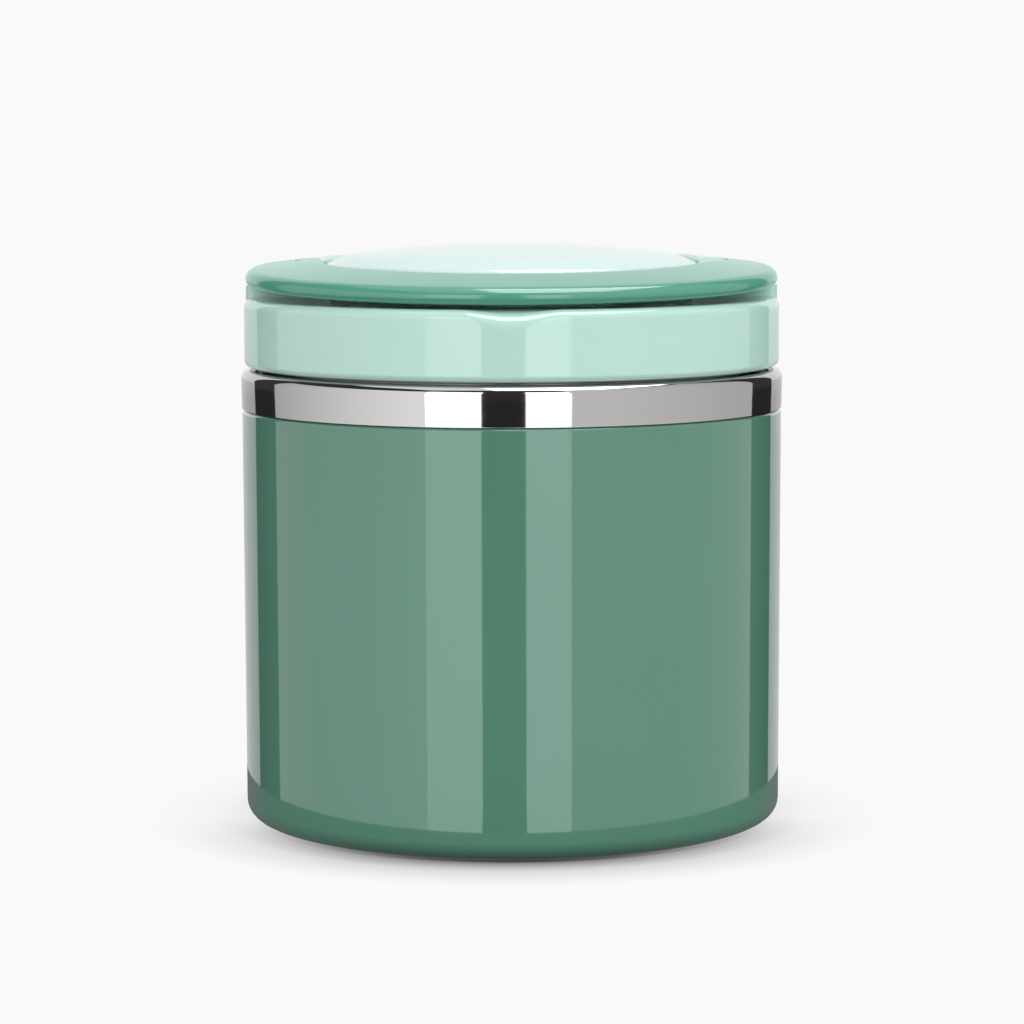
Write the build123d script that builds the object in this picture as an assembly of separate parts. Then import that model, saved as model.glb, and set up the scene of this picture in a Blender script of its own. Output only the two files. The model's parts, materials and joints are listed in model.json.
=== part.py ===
from build123d import *
import math
import os

# Insulated food jar: a double-walled steel jar, a screw lid, and a carry handle that folds down on the lid.
# Millimetres. The origin is the centre of the base, +Z is up, and -Y is the front, where the handle lifts.
# Nodes: outer_shell, steel_collar, inner_vessel, heat_shield_foil, vacuum_base, seal_bead, getter_capsule,
# getter_clip and base_cover stay on the jar. lid_gasket lifts with the lid. lid_shell, lid_liner, lid_foam,
# lid_screws, lid_disc, the pivot pins and the friction washers turn with the lid. handle folds on the pins.

# ---- driving dimensions ----
BODY_R = 55.0              # painted wall, at its top
BASE_R = 54.75             # it draws in a little towards the base
COLLAR_R = 55.15           # polished collar, its widest line
BAND_R = 54.5              # wall of the lid
HANDLE_R = 54.15           # outer edge of the handle
DISC_R = 38.05             # domed disc in the middle of the lid
CAVITY_R = 45.5            # food space

PAINT_TOP_Z = 84.2         # painted wall ends and the collar starts
COLLAR_TOP_Z = 92.15
LID_BOTTOM_Z = 92.55
MOUTH_Z = 101.4            # rolled rim of the jar
DECK_Z = 106.5             # ledge of the lid under the handle
APEX_Z = 117.6             # top of the disc

STEEL = 0.8                # wall of the pressed steel pieces
MOULDED = 1.6              # wall of the moulded lid
PART_GAP = 0.3             # around the disc

# the handle and the back of the lid share one shallow crown, a sphere about the lid's axis
CROWN_R = 385.0
CROWN_APEX_Z = 116.5
DOME_R = 246.0             # sphere of the disc
RING_IN_R = DISC_R + PART_GAP

# hinge of the handle
PIVOT_Y = 12.0
PIVOT_Z = 111.4
PIN_R = 1.0
PIN_FIT = 0.05             # running clearance on the radius
LOBE_X = 44.5              # inner face of each handle lobe
HINGE_GAP = 0.3            # between hinge boss and lobe
LOBE_END_R = 2.8           # round end of a lobe about the pivot
LOBE_RELIEF_R = 3.2        # matching hollow in the lid
ARM_ANGLE = 22.0           # degrees; each arm's inner edge leaves the ring here and runs out to its lobe
HANDLE_UNDER_Z = 109.5
SEAT_GAP = 0.35            # between the handle's arms and the raised ledge beside the hinges
FOLD_DROOP = 1.9           # degrees; the folded handle slopes down to the front


# ---- shapes used by several pieces ----
def sphere_z(apex, sphere_radius, r):
    """Height of a sphere about Z, whose top is at apex, at the radius r."""
    return apex - sphere_radius + math.sqrt(sphere_radius**2 - r**2)


def crown_z(r):
    return sphere_z(CROWN_APEX_Z, CROWN_R, r)


def crown_arc(r_start, r_end):
    """The crown between two radii, drawn in the section plane."""
    middle = (r_start + r_end) / 2
    ends = [(r, crown_z(r)) for r in (r_start, middle, r_end)]
    return ThreePointArc(*ends)


def turned(*corners):
    """Solid about Z. Each corner of its section is (radius, height) or (radius, height, fillet)."""
    points = [corner[:2] for corner in corners]
    fillets = [corner[2] if len(corner) > 2 else 0 for corner in corners]
    outline = FilletPolyline(*points, radius=fillets, close=True)
    return revolve(Plane.XZ * make_face(outline), Axis.Z)


def pressed(thickness, *corners):
    """Sheet of one thickness about Z: its corners are on the skin that has the metal on its left."""
    points = [corner[:2] for corner in corners]
    fillets = [corner[2] if len(corner) > 2 else 0 for corner in corners[1:-1]]
    skin = FilletPolyline(*points, radius=fillets)
    section = make_face(offset(skin, amount=thickness, side=Side.LEFT, kind=Kind.INTERSECTION))
    return revolve(Plane.XZ * section, Axis.Z)


def ring(r_out, r_in, z_low, z_high):
    return turned((r_in, z_low), (r_out, z_low), (r_out, z_high), (r_in, z_high))


def rod_x(radius, x_start, x_end, y, z):
    """Round bar along X."""
    length = x_end - x_start
    return Pos((x_start + x_end) / 2, y, z) * Rot(0, 90, 0) * Cylinder(radius, length)


def box_between(low, high):
    size = [b - a for a, b in zip(low, high)]
    middle = [(a + b) / 2 for a, b in zip(low, high)]
    return Pos(*middle) * Box(*size)


def round_corner(section, point, radius):
    corner = section.vertices().sort_by_distance((*point, 0))[0]
    return fillet(corner, radius)


def sector(outer_r, first, last, z_low, z_high):
    """Pie piece about Z between two angles in degrees."""
    steps = 6
    angles = [math.radians(first + (last - first) * k / steps) for k in range(steps + 1)]
    points = [(2 * outer_r * math.cos(a), 2 * outer_r * math.sin(a)) for a in angles]
    outline = make_face(Polyline((0, 0), *points, close=True))
    pie = extrude(Pos(0, 0, z_low) * outline, amount=z_high - z_low)
    return pie & Pos(0, 0, (z_low + z_high) / 2) * Cylinder(outer_r, z_high - z_low)


def both_sides(piece):
    return piece + mirror(piece, about=Plane.YZ)


# ---- jar ----
NECK_R = 48.6              # outside of the neck, below the thread
LIP_R = 49.5               # rolled rim
WALL_STEP_R = 54.15        # the wall is stepped in behind the collar
COLLAR_SEAM = 0.15         # fine groove between paint and collar
BASE_CORNER_R = 3.8
BASE_HEM_R = 49.0
BASE_RECESS_Z = 3.0


def make_outer_shell():
    """Painted wall with its rolled base, the step behind the collar, and the neck."""
    hem = [(BASE_HEM_R, BASE_RECESS_Z), (BASE_HEM_R, 0, 0.9)]
    wall = [(BASE_R, 0, BASE_CORNER_R), (BODY_R, PAINT_TOP_Z - COLLAR_SEAM)]
    step = [(WALL_STEP_R, PAINT_TOP_Z - COLLAR_SEAM), (WALL_STEP_R, COLLAR_TOP_Z - STEEL, 1.8)]
    neck = [(NECK_R, COLLAR_TOP_Z - STEEL, 1.0), (NECK_R, MOUTH_Z - STEEL)]
    return pressed(STEEL, *hem, *wall, *step, *neck)


def make_steel_collar():
    """Polished ring over the shoulder: it swells a little, then rolls in to the neck."""
    foot = (COLLAR_R - 0.1, PAINT_TOP_Z)
    swell = (COLLAR_R, PAINT_TOP_Z + 4.0, 30.0)
    shoulder = (COLLAR_R, COLLAR_TOP_Z, 1.8)
    return pressed(STEEL, foot, swell, shoulder, (NECK_R + 1.1, COLLAR_TOP_Z))


CAVITY_FLOOR_Z = 9.8
CAVITY_CORNER_R = 9.0


def mirror_skin(corners):
    """A pressed sheet whose metal is on the right of its skin, so the line is walked backwards."""
    return pressed(STEEL, *reversed(corners))


def make_inner_vessel():
    """Food vessel: deep drawn, with a round corner at its floor, and its rim rolled over the neck."""
    floor = [(0, CAVITY_FLOOR_Z), (CAVITY_R, CAVITY_FLOOR_Z, CAVITY_CORNER_R)]
    rim = [(CAVITY_R, MOUTH_Z, 1.4), (LIP_R, MOUTH_Z, 0.9), (LIP_R, MOUTH_Z - 1.6)]
    return mirror_skin(floor + rim)


FOIL = 0.2


def make_heat_shield_foil():
    inner = CAVITY_R + STEEL
    return ring(inner + FOIL, inner, 20.0, 88.0)


VACUUM_BASE_R = 51.0
DIMPLE_R = 9.0
DIMPLE_Z = 5.6             # ceiling of the dimple that holds the seal


def make_vacuum_base():
    """Closing disc of the vacuum space, seated on the hem, with a dimple for the seal."""
    dimple = [(0, DIMPLE_Z), (DIMPLE_R - 1.5, DIMPLE_Z, 1.0), (DIMPLE_R, BASE_RECESS_Z, 1.0)]
    return pressed(STEEL, *dimple, (VACUUM_BASE_R, BASE_RECESS_Z))


def make_seal_bead():
    """Glass bead that closes the pump-out hole."""
    return turned((0, DIMPLE_Z - 1.0), (1.8, DIMPLE_Z - 1.0, 0.4), (2.2, DIMPLE_Z), (0, DIMPLE_Z))


COVER_Z = 1.2


def make_base_cover():
    """Thin disc in the recess of the base, with a stiffening step and an upturned edge."""
    step = [(0, COVER_Z + 0.7), (30.0, COVER_Z + 0.7, 0.6), (31.0, COVER_Z, 0.6)]
    edge = [(BASE_HEM_R - STEEL - 0.1, COVER_Z, 0.9), (BASE_HEM_R - STEEL - 0.1, BASE_RECESS_Z)]
    return pressed(0.5, *step, *edge)


GETTER_X = 24.0
GETTER_R = 3.5
GETTER_H = 2.0


def getter_floor_z():
    return BASE_RECESS_Z + STEEL


def make_getter_capsule():
    pill = Pos(GETTER_X, 0, getter_floor_z() + GETTER_H / 2) * Cylinder(GETTER_R, GETTER_H)
    return fillet(pill.edges().filter_by(GeomType.CIRCLE), 0.4)


def make_getter_clip():
    """Spring strap across the capsule, with two feet spot-welded to the vacuum base."""
    strap, width, foot = 0.4, 4.0, 3.0
    reach = GETTER_R + 0.3
    top = getter_floor_z() + GETTER_H
    low = getter_floor_z()
    half = [(-reach - foot, low + strap / 2), (-reach - strap / 2, low + strap / 2)]
    line = Polyline(*half, (-reach - strap / 2, top + strap / 2), (0, top + strap / 2))
    section = make_face(offset(line, amount=strap / 2, side=Side.BOTH, kind=Kind.INTERSECTION))
    strip = extrude(Plane.XZ * section, amount=width / 2, both=True)
    return Pos(GETTER_X, 0, 0) * both_sides(strip)


# ---- lid ----
BAND_WALL = 2.1
HUB_STEP_Z = 109.2         # the disc's skirt stands here
HUB_TOP_Z = 110.9
SPIGOT_R = DISC_R - MOULDED - 0.2
RIM_FILLET = 1.8
DECK_UNDER_Z = DECK_Z - RIM_FILLET
CROWN_FILLET = 2.0
CREST_DRAFT = 0.3          # the fixed back leans in by this much over its height
CHEEK_Y = 0.6              # where the front of the raised ledge meets the outer wall
CHEEK_SLANT = 30.0         # degrees; from there it slants forwards to the hub
CHEEK_OUT_FILLET = 4.0
CHEEK_IN_FILLET = 5.0
LID_REACH = 70.0           # past every part of the lid


def make_lid_body():
    """Band, deck and hub, turned about Z."""
    band_in = BAND_R - BAND_WALL
    hub_in = SPIGOT_R - MOULDED
    outside = [(BAND_R, LID_BOTTOM_Z, 1.4), (BAND_R, DECK_Z, RIM_FILLET), (DISC_R - 0.2, DECK_Z, 0.6)]
    hub = [(DISC_R - 0.2, HUB_STEP_Z), (SPIGOT_R, HUB_STEP_Z), (SPIGOT_R, HUB_TOP_Z), (0, HUB_TOP_Z)]
    under = [(0, HUB_TOP_Z - MOULDED), (hub_in, HUB_TOP_Z - MOULDED, 0.5), (hub_in, DECK_UNDER_Z)]
    return turned(*outside, *hub, *under, (band_in, DECK_UNDER_Z, 0.5), (band_in, LID_BOTTOM_Z, 0.5))


def crown_ring(outer_r, inner_r, low_z, draft=0.0):
    """Section of the ring below the crown: arched top and a rounded outer edge."""
    edge = (outer_r - draft, crown_z(outer_r - draft))
    sides = Polyline(edge, (outer_r, low_z), (inner_r, low_z), (inner_r, crown_z(inner_r)))
    return round_corner(make_face([crown_arc(inner_r, edge[0]), *sides.edges()]), edge, CROWN_FILLET)


def raised_plan():
    """Plan of the fixed back and the raised ledges: slanted fronts, rounded at the wall and at the hub."""
    hub_r = DISC_R - 0.2
    slope = math.tan(math.radians(CHEEK_SLANT))
    middle_y = CHEEK_Y - BAND_R * slope
    far_y = middle_y + LID_REACH * slope
    sides = [(LID_REACH, far_y), (LID_REACH, LID_REACH), (-LID_REACH, LID_REACH), (-LID_REACH, far_y)]
    plan = Circle(BAND_R) & make_face(Polyline((0, middle_y), *sides, close=True))
    plan += Circle(hub_r)
    for side in (1, -1):
        plan = round_corner(plan, (side * BAND_R, CHEEK_Y), CHEEK_OUT_FILLET)
        plan = round_corner(plan, (side * hub_r, CHEEK_Y - (BAND_R - hub_r) * slope), CHEEK_IN_FILLET)
    return plan


def arm_island(ring_r, arm_x):
    """Plan of what the handle's arms pass by: tangents from a circle, then straight back at arm_x."""
    angle = math.radians(ARM_ANGLE)
    tangent_x, tangent_y = ring_r * math.cos(angle), -ring_r * math.sin(angle)
    bend_y = tangent_y + (arm_x - tangent_x) / math.tan(angle)
    right = [(tangent_x, tangent_y), (arm_x, bend_y), (arm_x, LID_REACH)]
    left = [(-x, y) for x, y in reversed(right)]
    return make_face(Polyline(*right, *left, close=True))


def folded(piece):
    """Turned about the pivot, from level to how the handle lies."""
    return piece.rotate(Axis((0, PIVOT_Y, PIVOT_Z), (1, 0, 0)), FOLD_DROOP)


def prism(face, z_low, z_high):
    return extrude(Pos(0, 0, z_low) * face, amount=z_high - z_low)


def handle_pocket():
    """Room for the folded handle's arms, and a round hollow behind each lobe."""
    floor_z = HANDLE_UNDER_Z - SEAT_GAP
    side = folded(box_between((-LID_REACH, -LID_REACH, floor_z), (LID_REACH, PIVOT_Y, LID_REACH * 2)))
    back_top = PIVOT_Y + LOBE_RELIEF_R
    above_pivot = box_between((-LID_REACH, 0, PIVOT_Z), (LID_REACH, back_top, LID_REACH * 2))
    hollow = rod_x(LOBE_RELIEF_R, -LID_REACH, LID_REACH, PIVOT_Y, PIVOT_Z)
    island = Circle(DISC_R) + arm_island(DISC_R, LOBE_X - HINGE_GAP)
    return side + above_pivot + hollow - prism(island, 0, LID_REACH * 2)


NOTCH_W = 20.0
NOTCH_DEPTH = 1.8
NOTCH_REACH = 8.0          # how far the scoop runs in from the rim
NOTCH_LIP = 1.0            # the scoop has its full depth this far in from the wall


def eased(share):
    """Smooth step from 0 to 1."""
    return share * share * (3 - 2 * share)


def notch_scoop():
    """Finger scoop at the front of the rim: a smooth dip, shallower towards the middle of the lid."""
    half, depth, steps = NOTCH_W / 2, NOTCH_DEPTH, 4
    dip = [(half * k / steps, -depth * eased(1 - abs(k) / steps)) for k in range(-steps, steps + 1)]
    floor = Spline(*dip, tangents=[(1, 0), (1, 0)])
    top = Polyline((half, 0), (half, 3 * depth), (-half, 3 * depth), (-half, 0))
    section = Plane.XZ * make_face([floor, *top.edges()])
    start = Pos(0, -BAND_R - NOTCH_LIP, DECK_Z - depth / NOTCH_REACH * 2 * NOTCH_LIP) * section
    run, rise = NOTCH_REACH + NOTCH_LIP, depth * (1 + 2 * NOTCH_LIP / NOTCH_REACH)
    return extrude(start, dir=(0, run, rise), amount=math.hypot(run, rise))


CORE_WALL = 1.8


def crescent_core():
    """Hollow under the fixed back of the lid, so that its top is one wall thick."""
    outer_r, inner_r = BAND_R - BAND_WALL, RING_IN_R + 4.5
    low_z = DECK_UNDER_Z
    high_z = crown_z(outer_r) - CORE_WALL
    profile = make_face(Polyline((inner_r, low_z), (outer_r, low_z), (outer_r, high_z - 0.6),
                                 (inner_r, crown_z(inner_r) - CORE_WALL), close=True))
    start_angle, sweep = 32.0, 116.0
    return Rot(0, 0, start_angle) * revolve(Plane.XZ * profile, Axis.Z, revolution_arc=sweep)


PIN_START_X = 36.7
PIN_END_X = 50.5
WASHER_R = 1.7
WASHER_SEAT = 0.25         # the washer is let into the boss by this much
SCREW_R = 1.1
SCREW_CIRCLE_R = 24.0
SCREW_COUNT = 4
SCREW_LENGTH = 10.0


def screw_places():
    return PolarLocations(SCREW_CIRCLE_R, SCREW_COUNT, start_angle=45)


def make_lid_shell():
    raised = revolve(Plane.XZ * crown_ring(BAND_R, RING_IN_R, DECK_UNDER_Z, CREST_DRAFT), Axis.Z)
    raised += ring(RING_IN_R + 0.1, DISC_R - 0.2, DECK_UNDER_Z, HUB_STEP_Z)
    raised &= prism(raised_plan(), DECK_UNDER_Z, LID_REACH * 2)
    shell = make_lid_body() + (raised - handle_pocket())
    shell -= notch_scoop()
    shell -= crescent_core()
    pin_hole = rod_x(PIN_R, PIN_START_X - 0.7, LOBE_X, PIVOT_Y, PIVOT_Z)
    washer_seat = rod_x(WASHER_R + 0.1, LOBE_X - HINGE_GAP - WASHER_SEAT, LOBE_X, PIVOT_Y, PIVOT_Z)
    shell -= both_sides(pin_hole + washer_seat)
    for place in screw_places():
        shell -= place * Pos(0, 0, HUB_TOP_Z) * Cylinder(SCREW_R + 0.2, 4 * MOULDED)
    return shell


def make_lid_disc():
    """Domed cap with a skirt that snaps over the hub and hides the screws."""
    outer_edge = (DISC_R, sphere_z(APEX_Z, DOME_R, DISC_R))
    dome = ThreePointArc((0, APEX_Z), (DISC_R / 2, sphere_z(APEX_Z, DOME_R, DISC_R / 2)), outer_edge)
    in_r, in_apex, in_dome = DISC_R - MOULDED, APEX_Z - MOULDED, DOME_R - MOULDED
    inner_edge = (in_r, sphere_z(in_apex, in_dome, in_r))
    inner = ThreePointArc((0, in_apex), (in_r / 2, sphere_z(in_apex, in_dome, in_r / 2)), inner_edge)
    skirt = Polyline(outer_edge, (DISC_R, HUB_STEP_Z), (in_r, HUB_STEP_Z), inner_edge)
    axis_line = Line((0, in_apex), (0, APEX_Z))
    section = make_face([dome, *skirt.edges(), inner, axis_line])
    section = round_corner(section, outer_edge, 1.6)
    return revolve(Plane.XZ * section, Axis.Z)


PLUG_R = 44.2              # outside of the plug that fills the mouth
PLUG_FLOOR_Z = 97.0
LINER_WALL = 1.4
SKIRT_R = 52.2
GASKET_TOP_Z = 103.4
LINER_BOTTOM_Z = 93.2
BOSS_R = 3.0


def make_lid_liner():
    """Inner cap: threaded skirt round the neck, gasket seat over the rim, and a plug into the mouth."""
    skirt_in = SKIRT_R - LINER_WALL
    plug_in = PLUG_R - LINER_WALL
    skirt = [(SKIRT_R, LINER_BOTTOM_Z, 0.4), (SKIRT_R, DECK_UNDER_Z, 0.6), (plug_in, DECK_UNDER_Z)]
    inside = [(plug_in, PLUG_FLOOR_Z + LINER_WALL, 1.6), (0, PLUG_FLOOR_Z + LINER_WALL)]
    plug = [(0, PLUG_FLOOR_Z), (PLUG_R, PLUG_FLOOR_Z, 3.0), (PLUG_R, GASKET_TOP_Z, 0.3)]
    liner = turned(*skirt, *inside, *plug, (skirt_in, GASKET_TOP_Z, 0.5), (skirt_in, LINER_BOTTOM_Z, 0.4))
    boss_low, boss_high = PLUG_FLOOR_Z + LINER_WALL / 2, HUB_TOP_Z - MOULDED
    for place in screw_places():
        liner += place * Pos(0, 0, (boss_low + boss_high) / 2) * Cylinder(BOSS_R, boss_high - boss_low)
    for place in screw_places():
        hole_low = HUB_TOP_Z - SCREW_LENGTH
        liner -= place * Pos(0, 0, (hole_low + boss_high) / 2) * Cylinder(SCREW_R, boss_high - hole_low)
    return liner


def make_lid_foam():
    """Insulating puck between the liner and the hub."""
    low, high = PLUG_FLOOR_Z + LINER_WALL, HUB_TOP_Z - MOULDED
    wide_r = PLUG_R - LINER_WALL - 0.2
    narrow_r = SPIGOT_R - MOULDED - 0.2
    foam = turned((0, low), (wide_r, low, 1.8), (wide_r, DECK_UNDER_Z), (narrow_r, DECK_UNDER_Z),
                  (narrow_r, high, 0.8), (0, high))
    for place in screw_places():
        foam -= place * Pos(0, 0, (low + high) / 2) * Cylinder(BOSS_R + 0.2, high - low)
    return foam


def make_lid_screws():
    """Four pan-head screws through the hub into the liner's bosses."""
    head = [(2.3, 0), (2.3, 1.4, 0.6), (0, 1.4)]
    screw = turned((0, -SCREW_LENGTH), (SCREW_R, -SCREW_LENGTH, 0.3), (SCREW_R, 0), *head)
    slot = Pos(0, 0, 1.4) * (Box(2.6, 0.5, 1.2) + Box(0.5, 2.6, 1.2))
    return [place * Pos(0, 0, HUB_TOP_Z) * (screw - slot) for place in screw_places()]


GASKET_GAP = 0.1


def make_lid_gasket():
    """Silicone ring under the liner, with a lip that presses on the rolled rim."""
    low, high = MOUTH_Z + GASKET_GAP, GASKET_TOP_Z - GASKET_GAP
    return turned((44.8, high, 0.3), (44.8, high - 1.0, 0.4), (46.4, low, 0.5), (48.6, low, 0.5),
                  (50.4, high - 1.0, 0.4), (50.4, high, 0.3))


def make_pivot_pin():
    """Right-hand dowel, pushed out through the hinge boss before the disc is fitted."""
    pin = rod_x(PIN_R, PIN_START_X, PIN_END_X, PIVOT_Y, PIVOT_Z)
    return chamfer(pin.edges().filter_by(GeomType.CIRCLE), 0.15)


def make_friction_washer():
    """Nylon washer between boss and lobe, which keeps the handle from flopping."""
    seat_x = LOBE_X - HINGE_GAP - WASHER_SEAT
    washer = rod_x(WASHER_R, seat_x, LOBE_X - 0.05, PIVOT_Y, PIVOT_Z)
    return washer - rod_x(PIN_R + PIN_FIT, seat_x - 1, LOBE_X, PIVOT_Y, PIVOT_Z)


# ---- handle ----
UNDER_FILLET = 1.4         # with the crown's rounding it makes a full round nose
CHANNEL_IN_R = 43.0
CHANNEL_OUT_R = 50.4
CHANNEL_DEPTH = 1.7
CHANNEL_END = 20.0         # degrees in front of the middle where the channel stops
RIB_W = 1.2
RIB_COUNT = 10             # even, so that a finger finds no rib at the front


def underside_channel():
    """Coring under the handle, crossed by radial ribs."""
    low, high = HANDLE_UNDER_Z - 1.0, HANDLE_UNDER_Z + CHANNEL_DEPTH
    ceiling = [(CHANNEL_OUT_R, high, 0.5), (CHANNEL_IN_R, high, 0.5)]
    channel = turned((CHANNEL_IN_R, low), (CHANNEL_OUT_R, low), *ceiling)
    channel &= sector(LID_REACH, -180 + CHANNEL_END, -CHANNEL_END, low, high)
    middle_r = (CHANNEL_IN_R + CHANNEL_OUT_R) / 2
    spacing = (180 - 2 * CHANNEL_END) / (RIB_COUNT + 1)
    for k in range(RIB_COUNT):
        rib = Pos(middle_r, 0, HANDLE_UNDER_Z) * Box(12.0, RIB_W, 3 * CHANNEL_DEPTH)
        channel -= Rot(0, 0, -CHANNEL_END - spacing * (k + 1)) * rib
    return channel


def make_handle():
    """Flat horseshoe on the crown: a ring at the front, straight arms, and a round lobe at each end."""
    section = crown_ring(HANDLE_R, RING_IN_R, HANDLE_UNDER_Z)
    section = round_corner(section, (HANDLE_R, HANDLE_UNDER_Z), UNDER_FILLET)
    section = round_corner(section, (RING_IN_R, crown_z(RING_IN_R)), 1.0)
    section = round_corner(section, (RING_IN_R, HANDLE_UNDER_Z), 0.5)
    body = revolve(Plane.XZ * section, Axis.Z)
    body -= prism(arm_island(RING_IN_R, LOBE_X), 0, LID_REACH * 2)
    front = box_between((-LID_REACH, -LID_REACH, 0), (LID_REACH, PIVOT_Y, LID_REACH * 2))
    lobe_end = rod_x(LOBE_END_R, -LID_REACH, LID_REACH, PIVOT_Y, PIVOT_Z)
    body &= front + lobe_end
    body -= underside_channel()
    bore = rod_x(PIN_R + PIN_FIT, 30.0, PIN_END_X + 0.3, PIVOT_Y, PIVOT_Z)
    body -= both_sides(bore)
    return folded(body)


# ---- write every piece ----
def write(node, shape):
    pieces = shape if isinstance(shape, list) else shape.solids()
    export_step(Compound(children=list(pieces)) if len(pieces) > 1 else pieces[0], f"parts/{node}.step")


pin = make_pivot_pin()
washer = make_friction_washer()
nodes = {
    "outer_shell": make_outer_shell(),
    "steel_collar": make_steel_collar(),
    "inner_vessel": make_inner_vessel(),
    "heat_shield_foil": make_heat_shield_foil(),
    "vacuum_base": make_vacuum_base(),
    "seal_bead": make_seal_bead(),
    "getter_capsule": make_getter_capsule(),
    "getter_clip": make_getter_clip(),
    "base_cover": make_base_cover(),
    "lid_gasket": make_lid_gasket(),
    "lid_shell": make_lid_shell(),
    "lid_liner": make_lid_liner(),
    "lid_foam": make_lid_foam(),
    "lid_screws": make_lid_screws(),
    "lid_disc": make_lid_disc(),
    "pivot_pin_right": pin,
    "pivot_pin_left": mirror(pin, about=Plane.YZ),
    "friction_washer_right": washer,
    "friction_washer_left": mirror(washer, about=Plane.YZ),
    "handle": make_handle(),
}
for name, shape in nodes.items():
    write(name, shape)
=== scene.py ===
# %% [markdown]
# # An insulated food jar
#
# A steel jar with two walls and a vacuum between them, a moulded screw lid, and a flat carry handle that
# folds down on the lid. The engineering model gives every piece its place and its size. Here each piece that
# is seen gets a smooth surface and a real finish, and is then lit like a product in a small studio.
# Everything is in metres. Sizes that a maker would read off a drawing are written in millimetres times MM.

# %% Load the engineering model as a fixed frame
import json
import math

import bmesh
import bpy
from mathutils import Matrix, Vector


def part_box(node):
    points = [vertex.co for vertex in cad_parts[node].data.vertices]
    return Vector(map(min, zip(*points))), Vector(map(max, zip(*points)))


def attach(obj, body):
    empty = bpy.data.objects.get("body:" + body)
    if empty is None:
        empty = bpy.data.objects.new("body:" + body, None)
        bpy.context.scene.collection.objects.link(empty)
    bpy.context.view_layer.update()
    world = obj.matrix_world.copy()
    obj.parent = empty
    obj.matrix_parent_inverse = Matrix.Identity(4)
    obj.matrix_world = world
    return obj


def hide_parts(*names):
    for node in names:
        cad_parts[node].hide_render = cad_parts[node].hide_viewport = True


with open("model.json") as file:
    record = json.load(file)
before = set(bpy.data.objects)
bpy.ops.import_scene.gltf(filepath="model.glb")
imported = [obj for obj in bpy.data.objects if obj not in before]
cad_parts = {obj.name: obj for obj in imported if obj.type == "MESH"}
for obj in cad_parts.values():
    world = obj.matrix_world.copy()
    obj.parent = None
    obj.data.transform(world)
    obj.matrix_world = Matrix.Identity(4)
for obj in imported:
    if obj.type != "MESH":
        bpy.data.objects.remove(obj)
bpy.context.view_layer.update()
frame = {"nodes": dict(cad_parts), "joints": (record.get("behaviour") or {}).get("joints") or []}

MM = 0.001
nodes = frame["nodes"]
print("pieces in the frame:", len(nodes))

# %% [markdown]
# ## Sizes from the frame
#
# A new piece has to sit exactly where the engineering model has it, so heights and radii are read from the
# boxes of the nodes. Only what a box can't tell, such as a wall or a rounding, is typed.

# %% Radii, heights and the handle's pivot, in mm
def reach(node):
    """Outer radius of a round node."""
    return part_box(node)[1].x / MM


def heights(node):
    low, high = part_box(node)
    return low.z / MM, high.z / MM


WALL_R = reach("outer_shell")
COLLAR_R = reach("steel_collar")
BAND_R = reach("lid_shell")
HANDLE_R = reach("handle")
DISC_R = reach("lid_disc")
LIP_R = reach("inner_vessel")
COLLAR_LOW, COLLAR_TOP = heights("steel_collar")
FLOOR_UNDER, MOUTH = heights("inner_vessel")
BAND_LOW = heights("lid_shell")[0]
DISC_LOW, APEX = heights("lid_disc")
fold = next(joint for joint in frame["joints"] if joint["name"] == "handle_fold")
PIVOT_Y, PIVOT_Z = fold["pos_m"][1] / MM, fold["pos_m"][2] / MM
print("mm: wall %.1f collar %.1f lid %.1f handle %.1f" % (WALL_R, COLLAR_R, BAND_R, HANDLE_R))
print("mm: collar %.1f to %.1f, mouth %.1f, lid from %.1f, top %.1f"
      % (COLLAR_LOW, COLLAR_TOP, MOUTH, BAND_LOW, APEX))

# %% [markdown]
# ## Small tools for turned pieces
#
# Nearly everything here is round, so it is made as a lathe would: a section is drawn once in the XZ plane
# and spun about Z. The corners of a section are typed, and the bevel operator rounds each one. That is easier
# to read than a list of points along every curve, and the rounding stays a real radius.

# %% Draw a section and round its corners
ROUND_STEPS = 8          # segments in a rounded corner
TURN_STEPS = 240         # facets round the jar, 1.5 degrees each
WELD = 1e-6              # points closer than this are one point, in metres
NEAR = 0.01              # close enough to count as on a line or plane, in mm


def round_off(bm, vert, radius):
    """Rounds a corner of a wire: the bevel's offset is the length of the tangent."""
    towards = [(edge.other_vert(vert).co - vert.co).normalized() for edge in vert.link_edges]
    turn = math.pi - towards[0].angle(towards[1])
    bmesh.ops.bevel(bm, geom=[vert], offset=radius * math.tan(turn / 2), segments=ROUND_STEPS,
                    profile=0.5, affect="VERTICES", material=-1)


def section(corners, closed=True):
    """Wire in the XZ plane. A corner is (radius, height) or (radius, height, rounding), all in mm."""
    bm = bmesh.new()
    verts = [bm.verts.new((corner[0] * MM, 0, corner[1] * MM)) for corner in corners]
    following = verts[1:] + verts[:1] if closed else verts[1:]
    for a, b in zip(verts, following):
        bm.edges.new((a, b))
    for vert, corner in zip(verts, corners):
        if len(corner) > 2:
            round_off(bm, vert, corner[2] * MM)
    return bm


def spin(bm, start=0.0, sweep=360.0, steps=TURN_STEPS):
    """Turns everything in bm about Z, from start through sweep, in degrees."""
    bmesh.ops.rotate(bm, verts=bm.verts, matrix=Matrix.Rotation(math.radians(start), 3, "Z"))
    bmesh.ops.spin(bm, geom=bm.verts[:] + bm.edges[:], cent=(0, 0, 0), axis=(0, 0, 1), dvec=(0, 0, 0),
                   angle=math.radians(sweep), steps=steps, use_merge=sweep == 360.0)
    bmesh.ops.remove_doubles(bm, verts=bm.verts, dist=WELD)
    bmesh.ops.recalc_face_normals(bm, faces=bm.faces)
    return bm


def facets(sweep):
    """Steps of a part turn, so that its facets are as wide as those of a full one."""
    return round(sweep * TURN_STEPS / 360)


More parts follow.
